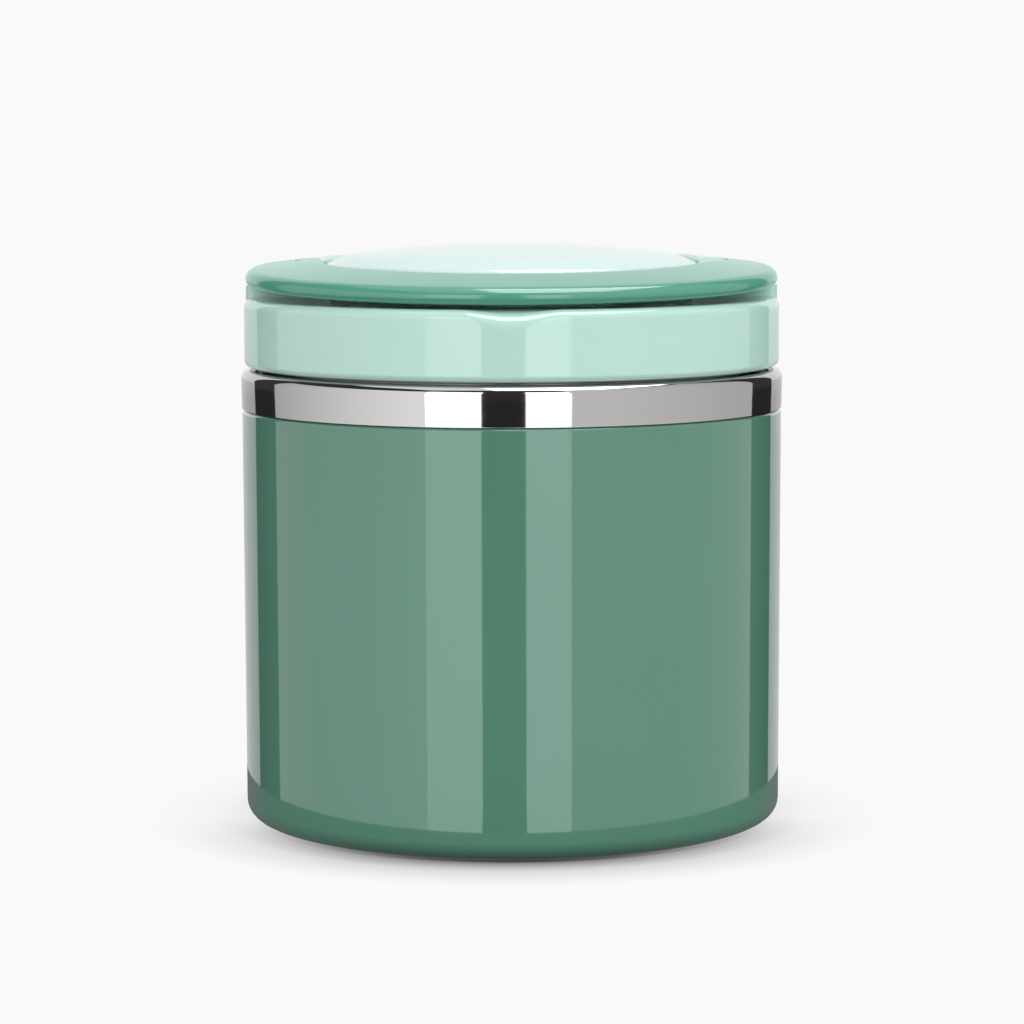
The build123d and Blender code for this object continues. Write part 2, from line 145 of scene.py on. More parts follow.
def turned(*corners):
    """Solid ring or disc: a closed section, or one that starts and ends on the axis."""
    on_axis = corners[0][0] == 0 and corners[-1][0] == 0
    return spin(section(corners, closed=not on_axis))


# %% Finish a piece: smooth faces, crisp edges, a material, and the body that it rides on
SHARP = math.radians(35)


def shade(bm):
    """Smooth faces, with the edges kept crisp where the surface really turns."""
    for face in bm.faces:
        face.smooth = True
    for edge in bm.edges:
        edge.smooth = len(edge.link_faces) == 2 and edge.calc_face_angle(0) < SHARP


def place(bm, name, body, finish, stands_for=(), wall=None):
    """Makes the object. wall is the thickness of a sheet, in mm, which grows inwards from its skin."""
    shade(bm)
    mesh = bpy.data.meshes.new(name)
    bm.to_mesh(mesh)
    bm.free()
    mesh.materials.append(finish)
    piece = bpy.data.objects.new(name, mesh)
    bpy.context.scene.collection.objects.link(piece)
    if wall:
        sheet = piece.modifiers.new("wall", "SOLIDIFY")
        sheet.thickness = wall * MM
        sheet.offset = -1
        sheet.use_even_offset = True
    even = piece.modifiers.new("even normals", "WEIGHTED_NORMAL")
    even.keep_sharp = True
    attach(piece, body)
    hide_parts(*stands_for)
    print("%s: %d faces" % (name, len(mesh.polygons)))
    return piece


# %% Cut one shape with another
def plain_object(bm, name):
    """An object with the mesh and nothing else."""
    mesh = bpy.data.meshes.new(name)
    bm.to_mesh(mesh)
    bm.free()
    item = bpy.data.objects.new(name, mesh)
    bpy.context.scene.collection.objects.link(item)
    return item


def carve(bm, tool, operation="DIFFERENCE"):
    """A boolean modifier, applied: bm after tool is taken away, added or kept in common."""
    target, other = plain_object(bm, "target"), plain_object(tool, "tool")
    modifier = target.modifiers.new("carve", "BOOLEAN")
    modifier.object = other
    modifier.operation = operation
    modifier.solver = "EXACT"
    shaped = target.evaluated_get(bpy.context.evaluated_depsgraph_get())
    mesh = bpy.data.meshes.new_from_object(shaped)
    result = bmesh.new()
    result.from_mesh(mesh)
    bmesh.ops.remove_doubles(result, verts=result.verts, dist=WELD)
    for item in (target, other):
        data = item.data
        bpy.data.objects.remove(item)
        bpy.data.meshes.remove(data)
    bpy.data.meshes.remove(mesh)
    return result


# %% [markdown]
# ## Finishes
#
# Each finish starts from what the real one is. Colours are written as sRGB hex, as a paint chart gives them,
# and one function turns them to linear. The nodes are added by one small function.

# %% Colour and node helpers
def srgb(code):
    """Linear RGBA of an sRGB hex colour."""
    channels = [int(code[k:k + 2], 16) / 255 for k in (1, 3, 5)]
    return [c / 12.92 if c <= 0.04045 else ((c + 0.055) / 1.055) ** 2.4 for c in channels] + [1.0]


def add_node(material, kind, settings=None, inputs=None):
    """Adds a node. settings are its properties; inputs are values, or output sockets to link from."""
    tree = material.node_tree
    node = tree.nodes.new(kind)
    for key, value in (settings or {}).items():
        setattr(node, key, value)
    for key, value in (inputs or {}).items():
        if isinstance(value, bpy.types.NodeSocket):
            tree.links.new(value, node.inputs[key])
        else:
            node.inputs[key].default_value = value
    return node


def new_finish(name, **shader):
    """Material with one Principled shader. Keywords are its sockets, with _ for a space."""
    material = bpy.data.materials.new(name)
    material.use_nodes = True
    principled = material.node_tree.nodes["Principled BSDF"]
    for key, value in shader.items():
        principled.inputs[key.replace("_", " ")].default_value = value
    return material, principled


def link(material, output, socket):
    material.node_tree.links.new(output, socket)


def per_mm(spacing):
    """Scale of a pattern that repeats about every spacing mm."""
    return 1.0 / (spacing * MM)


# %% [markdown]
# ### Moulded gloss plastic
#
# The lid is ABS from polished moulds. Such a surface is glossy but never quite flat: it has a very long,
# faint waviness from shrinkage, which bends the edge of a reflection a little. That is a bump with a scale of
# some millimetres and almost no height. A finer noise moves the roughness by a few hundredths.

# %% ABS in three colours
SHRINK_WAVE_MM, SHRINK_HEIGHT = 9.0, 0.01
MOULD_POLISH_MM = 0.7


def moulded_abs(name, colour, other_shade, roughness):
    """Gloss ABS. Its colour drifts towards the other shade with the waviness."""
    material, principled = new_finish(name, Base_Color=srgb(colour), IOR=1.53)
    place_on_piece = add_node(material, "ShaderNodeTexCoord").outputs["Object"]
    waves = add_node(material, "ShaderNodeTexNoise", None,
                     {"Vector": place_on_piece, "Scale": per_mm(SHRINK_WAVE_MM), "Detail": 1.0})
    bump = add_node(material, "ShaderNodeBump", None,
                    {"Height": waves.outputs["Fac"], "Strength": 0.35, "Distance": SHRINK_HEIGHT * MM})
    polish = add_node(material, "ShaderNodeTexNoise", None,
                      {"Vector": place_on_piece, "Scale": per_mm(MOULD_POLISH_MM), "Detail": 3.0})
    rough = add_node(material, "ShaderNodeMapRange", None,
                     {"Value": polish.outputs["Fac"], "To Min": roughness * 0.85, "To Max": roughness * 1.2})
    tint = add_node(material, "ShaderNodeMix", {"data_type": "RGBA"},
                    {"Factor": waves.outputs["Fac"], "A": srgb(colour), "B": srgb(other_shade)})
    link(material, tint.outputs["Result"], principled.inputs["Base Color"])
    link(material, rough.outputs["Result"], principled.inputs["Roughness"])
    link(material, bump.outputs["Normal"], principled.inputs["Normal"])
    return material


mint_abs = moulded_abs("mint ABS, moulded gloss", "#BBDFD4", "#B7DCD1", 0.06)
pale_abs = moulded_abs("pale mint ABS, moulded gloss", "#D0E5E3", "#CCE2DF", 0.10)
green_abs = moulded_abs("green ABS, moulded satin gloss", "#549B83", "#50967E", 0.12)
# The handle's finer grain catches light that comes in low, in its own green: that is what sheen draws.
satin = green_abs.node_tree.nodes["Principled BSDF"].inputs
satin["Sheen Weight"].default_value = 0.42
satin["Sheen Roughness"].default_value = 0.35
satin["Sheen Tint"].default_value = srgb("#8CFFE0")

# %% [markdown]
# ### Powder coat under a clear coat
#
# The steel wall is powder coated and then clear coated, which is why it mirrors the studio so sharply. The
# Principled shader's coat is that clear layer, and its base is the pigmented powder, which mirrors a little
# too, in its own green. Cured powder keeps a faint orange peel, with bumps a few millimetres apart.

# %% Green powder coat
ORANGE_PEEL_MM, PEEL_HEIGHT = 2.6, 0.004
BATCH_CHANGE_MM = 40.0   # over which the colour drifts by a shade
powder_coat, principled = new_finish("green powder coat, clear coated", IOR=1.5, Coat_Weight=1.0,
                                     Coat_Roughness=0.02, Coat_IOR=1.45, Roughness=0.07,
                                     Specular_Tint=srgb("#BFDBD4"))
on_wall = add_node(powder_coat, "ShaderNodeTexCoord").outputs["Object"]
peel = add_node(powder_coat, "ShaderNodeTexNoise", None,
                {"Vector": on_wall, "Scale": per_mm(ORANGE_PEEL_MM), "Detail": 1.5})
peel_bump = add_node(powder_coat, "ShaderNodeBump", None,
                     {"Height": peel.outputs["Fac"], "Strength": 0.3, "Distance": PEEL_HEIGHT * MM})
batch = add_node(powder_coat, "ShaderNodeTexNoise", None,
                 {"Vector": on_wall, "Scale": per_mm(BATCH_CHANGE_MM), "Detail": 2.0})
coat_colour = add_node(powder_coat, "ShaderNodeMix", {"data_type": "RGBA"},
                       {"Factor": batch.outputs["Fac"], "A": srgb("#548571"), "B": srgb("#52826E")})
link(powder_coat, coat_colour.outputs["Result"], principled.inputs["Base Color"])
link(powder_coat, peel_bump.outputs["Normal"], principled.inputs["Normal"])
link(powder_coat, peel_bump.outputs["Normal"], principled.inputs["Coat Normal"])

# %% [markdown]
# ### Stainless steel, polished and turned
#
# The collar is mirror polished. A wheel leaves hair-thin marks round it, so a noise is stretched along the
# circle: it is read by height and radius only, which draws rings on a floor and level lines on a wall. The
# same function with a rougher setting is the satin inside of the jar.

# %% Stainless steels
def ring_lines(material, spacing):
    """Noise that is the same all the way round the jar's axis."""
    place_on_piece = add_node(material, "ShaderNodeTexCoord").outputs["Object"]
    parts = add_node(material, "ShaderNodeSeparateXYZ", None, {"Vector": place_on_piece})
    flat = add_node(material, "ShaderNodeCombineXYZ", None,
                    {"X": parts.outputs["X"], "Y": parts.outputs["Y"]})
    radius = add_node(material, "ShaderNodeVectorMath", {"operation": "LENGTH"}, {0: flat.outputs["Vector"]})
    across = add_node(material, "ShaderNodeCombineXYZ", None,
                      {"X": radius.outputs["Value"], "Z": parts.outputs["Z"]})
    return add_node(material, "ShaderNodeTexNoise", None,
                    {"Vector": across.outputs["Vector"], "Scale": per_mm(spacing), "Detail": 4.0,
                     "Roughness": 0.6})


def stainless(name, colour, roughness, line_spacing, line_height, strength):
    """Steel with turning marks, whose spacing and height are in mm."""
    material, principled = new_finish(name, Base_Color=srgb(colour), Metallic=1.0)
    lines = ring_lines(material, line_spacing)
    rough = add_node(material, "ShaderNodeMapRange", None,
                     {"Value": lines.outputs["Fac"], "To Min": roughness * 0.7, "To Max": roughness * 1.4})
    bump = add_node(material, "ShaderNodeBump", None,
                    {"Height": lines.outputs["Fac"], "Strength": strength, "Distance": line_height * MM})
    link(material, rough.outputs["Result"], principled.inputs["Roughness"])
    link(material, bump.outputs["Normal"], principled.inputs["Normal"])
    return material


mirror_steel = stainless("stainless steel, mirror polished", "#B8B6B5", 0.045, 0.5, 0.0006, 0.25)
satin_steel = stainless("stainless steel, satin turned", "#C9C7C5", 0.30, 0.35, 0.006, 0.4)
spun_steel = stainless("stainless steel, spun base", "#C6C4C2", 0.26, 0.6, 0.012, 0.5)
pin_steel = stainless("stainless steel, ground pin", "#C4C4C4", 0.22, 0.3, 0.003, 0.3)

# %% [markdown]
# ### Small and hidden finishes
#
# Silicone, polypropylene, nylon, foam, foil and sealing glass are hardly seen, but each is set from what it
# is. One function serves them all: a plain colour with the grain that its surface has.

# %% Soft, light and hidden materials
def grained(name, colour, roughness, grain_mm, height, **shader):
    """A plain material with a fine grain in its surface."""
    material, principled = new_finish(name, Base_Color=srgb(colour), Roughness=roughness, **shader)
    place_on_piece = add_node(material, "ShaderNodeTexCoord").outputs["Object"]
    grain = add_node(material, "ShaderNodeTexNoise", None,
                     {"Vector": place_on_piece, "Scale": per_mm(grain_mm), "Detail": 3.0})
    bump = add_node(material, "ShaderNodeBump", None,
                    {"Height": grain.outputs["Fac"], "Strength": 0.4, "Distance": height * MM})
    link(material, bump.outputs["Normal"], principled.inputs["Normal"])
    return material


silicone = grained("white silicone", "#DADCDA", 0.42, 0.5, 0.01, IOR=1.41)
white_pp = grained("white polypropylene", "#E3E5E2", 0.30, 0.6, 0.01, IOR=1.49)
bead_foam = grained("expanded polystyrene", "#E6E2D6", 0.85, 3.0, 0.25, IOR=1.3)
nylon = grained("natural nylon", "#DEDACB", 0.45, 0.3, 0.01, IOR=1.53)
foil = grained("bright aluminium foil", "#E4E4E6", 0.18, 2.0, 0.05, Metallic=1.0)
seal_glass = grained("sealing glass", "#B9C4BC", 0.12, 0.8, 0.005, IOR=1.52, Transmission_Weight=0.6)

# %% [markdown]
# ## The jar's wall
#
# The outer wall is one pressing: a rolled base, a tall straight side, a small step where the collar sits, and
# a narrower neck for the thread. Only its skin is drawn, and a Solidify modifier gives it 0.8 mm of steel.
# The paint stops under the collar, so the neck above is bare steel: the same mesh, with a second material.

# %% Painted wall and bare neck
STEEL = 0.8
BASE_R = 54.75           # the wall draws in a little towards the base
HEM_R, RECESS = 49.0, 3.0
STEP_R, NECK_R = 54.15, 48.6
SEAM = 0.15              # groove between paint and collar
wall_top = COLLAR_LOW - SEAM
neck_foot = COLLAR_TOP - STEEL

skin = spin(section([(HEM_R, RECESS), (HEM_R, 0, 0.9), (BASE_R, 0, 3.8), (WALL_R, wall_top, 0.8),
                     (STEP_R, wall_top), (STEP_R, neck_foot, 1.8), (NECK_R, neck_foot, 1.0),
                     (NECK_R, MOUTH - STEEL)], closed=False))
bare = [face for face in skin.faces if face.calc_center_median().z > COLLAR_LOW * MM]
for face in bare:
    face.material_index = 1
wall = place(skin, "jar_wall", "jar", powder_coat, ["outer_shell"], wall=STEEL)
wall.data.materials.append(satin_steel)

# %% [markdown]
# ## The thread of the neck
#
# Three short ridges are rolled into the neck, so that the lid closes in under a turn. A ridge is a small
# section spun about Z while it climbs: the spin operator's dvec is the climb of one step, which makes a
# helix. Both ends fade back into the neck, by moving their points towards it.

# %% Helical ridges, for the neck and for the lid
LEAD = 9.0               # climb in one full turn
STARTS = 3
RIDGE_SWEEP = 150.0      # degrees
RIDGE_STEPS = 100
RIDGE_FADE = 14.0        # degrees over which an end runs out
RIDGE_SUNK = 0.25        # how deep the root lies in the wall
CREST_HALF, FLANK_HALF, ROOT_HALF = 0.35, 1.3, 1.5     # half of a ridge's height there


def ease(share):
    """Runs smoothly from 0 to 1, and stays there outside."""
    share = max(0.0, min(1.0, share))
    return share * share * (3 - 2 * share)


def thread(base_r, crest_r, low_z):
    """Ridges from base_r to crest_r, starting at low_z. Their root is sunk a little into the wall."""
    bm = bmesh.new()
    root_r = base_r - math.copysign(RIDGE_SUNK, crest_r - base_r)
    climb = LEAD * RIDGE_SWEEP / 360
    corners = [(root_r, -ROOT_HALF), (base_r, -FLANK_HALF), (crest_r, -CREST_HALF), (crest_r, CREST_HALF),
               (base_r, FLANK_HALF), (root_r, ROOT_HALF)]
    for k in range(STARTS):
        verts = [bm.verts.new((r * MM, 0, (low_z + z) * MM)) for r, z in corners]
        profile = bm.faces.new(verts)
        bmesh.ops.rotate(bm, verts=verts, matrix=Matrix.Rotation(math.tau * k / STARTS, 3, "Z"))
        bmesh.ops.spin(bm, geom=[profile], cent=(0, 0, 0), axis=(0, 0, 1),
                       dvec=(0, 0, climb * MM / RIDGE_STEPS), angle=math.radians(RIDGE_SWEEP),
                       steps=RIDGE_STEPS)
    for vert in bm.verts:
        turn = (vert.co.z / MM - low_z) / LEAD * 360
        run = min(turn, RIDGE_SWEEP - turn) + RIDGE_FADE / 2
        radius = math.hypot(vert.co.x, vert.co.y) / MM
        shrunk = root_r + (radius - root_r) * ease(run / RIDGE_FADE)
        vert.co.x *= shrunk / radius
        vert.co.y *= shrunk / radius
    bmesh.ops.recalc_face_normals(bm, faces=bm.faces)
    return bm


NECK_CREST_R, NECK_THREAD_Z = 49.45, 94.6
LINER_CREST_R, LINER_THREAD_Z = 49.95, 97.2
place(thread(NECK_R, NECK_CREST_R, NECK_THREAD_Z), "neck_thread", "jar", satin_steel)

# %% [markdown]
# ## The polished collar
#
# A separate ring is pressed over the shoulder. It swells by a fraction of a millimetre, and its top rolls in.
# The roll matters more than its size suggests: it is where the collar mirrors the ceiling.

# %% Collar
SWELL, SWELL_ROUND = 0.1, 30.0
COLLAR_ROLL, COLLAR_GAP = 1.8, 1.1         # the roll's radius, and what it leaves free beside the neck
swell_z = (COLLAR_LOW + COLLAR_TOP) / 2
ring = section([(COLLAR_R - SWELL, COLLAR_LOW), (COLLAR_R, swell_z, SWELL_ROUND),
                (COLLAR_R, COLLAR_TOP, COLLAR_ROLL), (NECK_R + COLLAR_GAP, COLLAR_TOP)], closed=False)
place(spin(ring), "polished_collar", "jar", mirror_steel, ["steel_collar"], wall=STEEL)

# %% [markdown]
# ## The food vessel
#
# The inner wall is deep drawn, with a round corner at the floor that a spoon can reach, and its rim is rolled
# outwards over the neck. The skin is the side that touches the food, so the steel grows away from it.

# %% Inner vessel
CAVITY_R = 45.5
floor_z = FLOOR_UNDER + STEEL
skin = spin(section([(0, floor_z), (CAVITY_R, floor_z, 9.0), (CAVITY_R, MOUTH, 1.4), (LIP_R, MOUTH, 0.9),
                     (LIP_R, MOUTH - 1.6)], closed=False))
lowest = min(skin.faces, key=lambda face: face.calc_center_median().z)
if lowest.normal.z < 0:
    bmesh.ops.reverse_faces(skin, faces=skin.faces)
place(skin, "food_vessel", "jar", satin_steel, ["inner_vessel"], wall=STEEL)

# %% [markdown]
# ## The base
#
# Seen from below there is a thin spun cover in the recess of the base, with a raised step that stiffens it.

# %% Base cover
cover_low, cover_top = heights("base_cover")
cover_r = reach("base_cover")
COVER_STEEL, STIFF_STEP = 0.5, 0.7
skin = spin(section([(0, cover_low + STIFF_STEP), (30.0, cover_low + STIFF_STEP, 0.6), (31.0, cover_low, 0.6),
                     (cover_r, cover_low, 0.9), (cover_r, cover_top)], closed=False))
widest = max(skin.faces, key=lambda face: face.calc_area())
if widest.normal.z > 0:
    bmesh.ops.reverse_faces(skin, faces=skin.faces)
place(skin, "spun_base", "jar", spun_steel, ["base_cover"], wall=COVER_STEEL)

# %% [markdown]
# ## The lid's crown
#
# The handle and the fixed back of the lid lie on one shallow sphere, so that they look like a single ring
# when the handle is down. A section of that ring is drawn with a straight top, the top is subdivided, and its
# points are lifted on to the sphere.

# %% The sphere, and a section of the ring under it
CROWN_SPHERE = 385.0
CROWN_APEX = 116.5
CROWN_ROUND, CROWN_CUTS = 2.0, 6
LONG_EDGE = 5.0          # no piece of a rounding is as long
TOP_BAND = 0.5           # the top's points lie less than this under its chord


def crown(r):
    """Height of the sphere at the radius r."""
    return CROWN_APEX - CROWN_SPHERE + math.sqrt(CROWN_SPHERE**2 - r**2)


def crown_section(inner_r, top_r, inner_round, *lower):
    """Closed section with its top on the crown. lower are the corners from inner foot to outer foot."""
    bm = section([*lower, (top_r, crown(top_r), CROWN_ROUND), (inner_r, crown(inner_r), inner_round)])
    long_edges = [edge for edge in bm.edges if edge.calc_length() > LONG_EDGE * MM]
    top = max(long_edges, key=lambda edge: sum(vert.co.z for vert in edge.verts))
    first, last = sorted(vert.co.x / MM for vert in top.verts)
    slope = (crown(top_r) - crown(inner_r)) / (top_r - inner_r)
    bmesh.ops.subdivide_edges(bm, edges=[top], cuts=CROWN_CUTS)
    for vert in bm.verts:
        r, z = vert.co.x / MM, vert.co.z / MM
        chord = crown(inner_r) + slope * (r - inner_r)
        if first - NEAR < r < last + NEAR and z > chord - TOP_BAND:
            vert.co.z += (crown(r) - chord) * MM
    return bm


# %% [markdown]
# ## The lid
#
# The band, the ledge under the handle and the hub under the disc are one turning. The front of its rim has a
# finger notch, which is not cut but pressed in: points near the front sink by a smooth amount, and the
# rounding of the rim dips with them, as it does in a mould. For that the front is spun in finer steps.
# The fixed back crescent is the crown section, spun only round the back and the sides. What the handle needs
# is then carved out of it: a shelf beside each hinge, a hollow round each lobe, and a straight wall.

# %% Band, ledge and hub
DECK = 106.5
RIM_ROUND = 1.8
DECK_UNDER = DECK - RIM_ROUND
WALL = 1.6
HUB_TOP = 110.9
HUB_OPENING = 30.0       # radius of the hole under the disc
NOTCH_W, NOTCH_DEPTH, NOTCH_IN = 20.0, 1.8, 5.0
NOTCH_FOOT = 6.0         # the band keeps its shape from this far under the ledge
NOTCH_LEVELS = 2.6, 3.4, 4.4, 5.6          # extra rows of points, down from the ledge
NOTCH_RINGS = 2.2, 2.7, 3.2, 3.7, 4.3, 5   # and inwards from the band
FINE_SWEEP, FINE_STEPS = 30.0, 90

RING_IN = DISC_R + 0.3   # handle and crescent clear the disc
hub_r = DISC_R - 0.2
spigot_r = DISC_R - WALL - 0.2
band_in = BAND_R - 2.1
lid_corners = [(BAND_R, BAND_LOW, 1.4), (BAND_R, DECK, RIM_ROUND), (hub_r, DECK, 0.6), (hub_r, DISC_LOW),
               (spigot_r, DISC_LOW), (spigot_r, HUB_TOP), (HUB_OPENING, HUB_TOP),
               (HUB_OPENING, HUB_TOP - WALL), (spigot_r - WALL, HUB_TOP - WALL, 0.5),
               (spigot_r - WALL, DECK_UNDER), (band_in, DECK_UNDER, 0.5), (band_in, BAND_LOW, 0.5)]


def cut(bm, point, normal):
    """New points and edges where a plane crosses bm. Nothing is taken away."""
    bmesh.ops.bisect_plane(bm, geom=bm.verts[:] + bm.edges[:] + bm.faces[:], plane_co=point, plane_no=normal)


def lid_part(start, sweep, steps):
    """The lid's turning between two angles. Its wire has extra points for the notch to move."""
    wire = section(lid_corners)
    for down in NOTCH_LEVELS:
        cut(wire, (0, 0, (DECK - down) * MM), (0, 0, 1))
    for inwards in NOTCH_RINGS:
        cut(wire, ((BAND_R - inwards) * MM, 0, 0), (1, 0, 0))
    return spin(wire, start, sweep, steps)


lid = lid_part(-90 - FINE_SWEEP / 2, FINE_SWEEP, FINE_STEPS)
coarse = lid_part(-90 + FINE_SWEEP / 2, 360 - FINE_SWEEP, facets(360 - FINE_SWEEP))
rest_of_lid = bpy.data.meshes.new("rest of lid")
coarse.to_mesh(rest_of_lid)
coarse.free()
lid.from_mesh(rest_of_lid)
bpy.data.meshes.remove(rest_of_lid)
bmesh.ops.remove_doubles(lid, verts=lid.verts, dist=10 * WELD)
bmesh.ops.recalc_face_normals(lid, faces=lid.faces)


# %% Press the finger notch into the rim
SKIN_IN, SKIN_DOWN = 2.0, 1.0    # points further in and down than this are on the inner side, which stays

for vert in lid.verts:
    x, z = vert.co.x / MM, vert.co.z / MM
    inwards = BAND_R - math.hypot(vert.co.x, vert.co.y) / MM
    if vert.co.y > 0 or inwards > NOTCH_IN or z < DECK - NOTCH_FOOT:
        continue
    if inwards > SKIN_IN and z < DECK - SKIN_DOWN:
        continue
    across = ease((NOTCH_W / 2 - abs(x)) / (NOTCH_W / 2))
    along = (1 - inwards / NOTCH_IN)**2 if z > DECK - RIM_ROUND else 1.0
    down = ease((z - (DECK - NOTCH_FOOT)) / (NOTCH_FOOT - RIM_ROUND))
    vert.co.z -= NOTCH_DEPTH * across * along * down * MM

# %% [markdown]
# ### Where the handle's arms lie
#
# Seen from above, each arm leaves the ring on a tangent and then runs straight back to its hinge. The same
# line, a hinge gap further in, bounds the hollow that the lid has for it. The hollow is drawn from the side:
# a shelf that slopes as the folded handle does, and an arc about the pivot from that shelf to behind it.

# %% Line of an arm, and the outline seen from the side
LOBE_X, HINGE_GAP = 44.5, 0.3
RELIEF_R = 3.2                     # of the hollow about the pivot
ARM_TURN = math.radians(22)
REST_TURN = math.radians(1.9)      # how far the folded handle slopes down to the front
HANDLE_UNDER = 109.5               # underside of the handle before it is tilted
SEAT_GAP = 0.35                    # between the folded handle and its shelf
ARC_STEPS = 24
PIVOT = Vector((0, PIVOT_Y * MM, PIVOT_Z * MM))


def bend_y(ring_r, arm_x):
    """Where the tangent from the ring meets the straight arm."""
    return -ring_r * math.sin(ARM_TURN) + (arm_x - ring_r * math.cos(ARM_TURN)) / math.tan(ARM_TURN)


def arm_wall(y, ring_r, arm_x):
    """X of the wall beside an arm, at the depth y."""
    return arm_x - max(0.0, bend_y(ring_r, arm_x) - y) * math.tan(ARM_TURN)


def tilt(bm):
    """Turns everything about the pivot, from level to how the handle lies."""
    bmesh.ops.rotate(bm, verts=bm.verts, cent=PIVOT, matrix=Matrix.Rotation(REST_TURN, 3, "X"))


def arc_behind_pivot(bm, x, radius, angle, ahead=0.0):
    """Points in the plane x, from below the pivot round behind it. ahead is how far in front they start."""
    low = bm.verts.new((x * MM, (PIVOT_Y - radius * math.sin(ahead)) * MM,
                        (PIVOT_Z - radius * math.cos(ahead)) * MM))
    bmesh.ops.spin(bm, geom=[low], cent=(x * MM, *PIVOT.yz), axis=(1, 0, 0), dvec=(0, 0, 0),
                   angle=math.radians(angle) + ahead, steps=ARC_STEPS)
    centre = Vector((x * MM, *PIVOT.yz))
    return [vert for vert in bm.verts if abs((vert.co - centre).length - radius * MM) < WELD]


def prism(bm, face, *along):
    """Pushes a face out along a direction in mm, and keeps both ends."""
    extruded = bmesh.ops.extrude_face_region(bm, geom=[face])
    far_side = [item for item in extruded["geom"] if isinstance(item, bmesh.types.BMVert)]
    bmesh.ops.translate(bm, verts=far_side, vec=Vector(along) * MM)
    bmesh.ops.recalc_face_normals(bm, faces=bm.faces)
    return bm


def on_side(bm, side):
    """The shape itself for the side 1, and its mirror image for the side -1."""
    bmesh.ops.scale(bm, vec=(side, 1, 1), verts=bm.verts)
    bmesh.ops.recalc_face_normals(bm, faces=bm.faces)
    return bm


# %% The hollow beside each hinge, as a tool to cut with
FAR, ABOVE = 75.0, 140.0           # past every part of the lid
HUB_WALL_X = LOBE_X - HINGE_GAP
BOSS_SLOPE_Z, BOSS_SLOPE = 112.9, 0.9      # above this the boss leans away from the arm


def shelf_z(y):
    """Height of the sloping shelf under an arm."""
    drop = (PIVOT_Z - HANDLE_UNDER + SEAT_GAP) / math.cos(REST_TURN)
    return PIVOT_Z - drop + (y - PIVOT_Y) * math.tan(REST_TURN)


def pocket(side):
    """What the lid has to leave free for the handle."""
    bm = bmesh.new()
    meets_shelf = math.acos((PIVOT_Z - HANDLE_UNDER + SEAT_GAP) / RELIEF_R) - REST_TURN
    arc = arc_behind_pivot(bm, HUB_WALL_X, RELIEF_R, 90, meets_shelf)
    other = [bm.verts.new((HUB_WALL_X * MM, y * MM, z * MM)) for y, z in
             ((PIVOT_Y + RELIEF_R, ABOVE), (-FAR, ABOVE), (-FAR, shelf_z(-FAR)))]
    prism(bm, bm.faces.new(arc + other), FAR - HUB_WALL_X, 0, 0)
    cut(bm, (0, bend_y(DISC_R, HUB_WALL_X) * MM, 0), (0, 1, 0))
    for vert in bm.verts:
        if abs(vert.co.x / MM - HUB_WALL_X) < NEAR:
            vert.co.x = arm_wall(vert.co.y / MM, DISC_R, HUB_WALL_X) * MM
    cut(bm, (0, 0, BOSS_SLOPE_Z * MM), (0, 0, 1))
    for vert in bm.verts:
        if vert.co.z / MM > BOSS_SLOPE_Z + NEAR and vert.co.x / MM < HUB_WALL_X + NEAR:
            vert.co.x -= (vert.co.z - BOSS_SLOPE_Z * MM) * BOSS_SLOPE
    return on_side(bm, side)


# %% [markdown]
# The crescent's two front ends are slanted: each runs from the outer wall forwards to the hub, and is round
# where it meets them. That line is drawn from above, closed into a face, and pushed up into a cutter that
# takes away what lies in front of it. A round seat in each hinge boss then holds a nylon washer.
# The crescent is cut by three tools on each side, so every tool is a function of the side.

# %% Slanted cheek and washer seat, as tools to cut with
CHEEK_Y, CHEEK_SLANT = 0.6, math.radians(30)
CHEEK_ROUNDS = 5.0, 4.0            # at the hub, and at the outer wall
HUB_MEETS, HUB_ENDS = math.radians(-16), math.radians(-22)
CUT_BACK, CUT_IN = 8.0, 20.0       # how far back and in the cutter goes, where it cuts only air
BELOW = 90.0                       # under everything that is cut
SEAT_R, SEAT_DEEP, SEAT_STEPS = 1.8, 0.25, 48


def in_front_of_cheek(side):
    """Everything in front of the crescent's end."""
    bm = bmesh.new()
    inner_x = hub_r * math.cos(HUB_MEETS)
    inner_y = CHEEK_Y - (BAND_R - inner_x) * math.tan(CHEEK_SLANT)
    on_hub = ((hub_r - 0.1) * math.cos(HUB_ENDS), (hub_r - 0.1) * math.sin(HUB_ENDS))
    plan = [(inner_x, inner_y), (BAND_R, CHEEK_Y), (BAND_R, CUT_BACK), (FAR, CUT_BACK), (FAR, -FAR),
            (CUT_IN, -FAR), on_hub]
    verts = [bm.verts.new((x * MM, y * MM, BELOW * MM)) for x, y in plan]
    for a, b in zip(verts, verts[1:] + verts[:1]):
        bm.edges.new((a, b))
    for vert, radius in zip(verts, CHEEK_ROUNDS):
        round_off(bm, vert, radius * MM)
    face = bmesh.ops.contextual_create(bm, geom=bm.edges[:])["faces"][0]
    prism(bm, face, 0, 0, ABOVE - BELOW)
    return on_side(bm, side)


def washer_seat(side):
    """A short cylinder along the hinge, which ends inside the boss."""
    bm = bmesh.new()
    length = RELIEF_R + SEAT_DEEP
    bmesh.ops.create_cone(bm, cap_ends=True, segments=SEAT_STEPS, radius1=SEAT_R * MM, radius2=SEAT_R * MM,
                          depth=length * MM)
    bmesh.ops.rotate(bm, verts=bm.verts, matrix=Matrix.Rotation(math.radians(90), 3, "Y"))
    middle = Vector((side * (HUB_WALL_X - SEAT_DEEP + length / 2) * MM, *PIVOT.yz))
    bmesh.ops.translate(bm, verts=bm.verts, vec=middle)
    return bm


